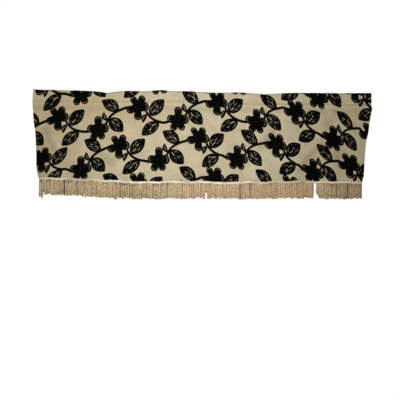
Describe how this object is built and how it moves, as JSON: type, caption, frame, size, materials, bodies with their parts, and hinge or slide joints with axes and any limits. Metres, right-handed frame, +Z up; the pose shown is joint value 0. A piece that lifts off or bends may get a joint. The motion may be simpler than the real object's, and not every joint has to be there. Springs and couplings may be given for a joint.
{
  "type": "window valance",
  "caption": "Flat-hanging linen-look window valance with a rod pocket along its top edge, raised black flower and vine motifs and a corded fringe along its foot.",
  "frame": {"origin": "middle of the top edge, on the crown of the pocket's fold", "axes": "+X to the right along the width as seen from the room, -Y out of the front face towards the room, +Z up"},
  "size_m": [1.3259, 0.0316, 0.4274],
  "materials": {
    "linen_cloth": "natural beige slubbed plain weave, matt, with raised black flock flowers, leaves and vines",
    "fringe_yarn": "tan two-ply twisted cords with a slight lustre, under an ivory woven tape"
  },
  "bodies": {
    "root": {"panel": "linen_cloth", "fringe_long": "fringe_yarn", "fringe_short": "fringe_yarn"}
  },
  "joints": []
}
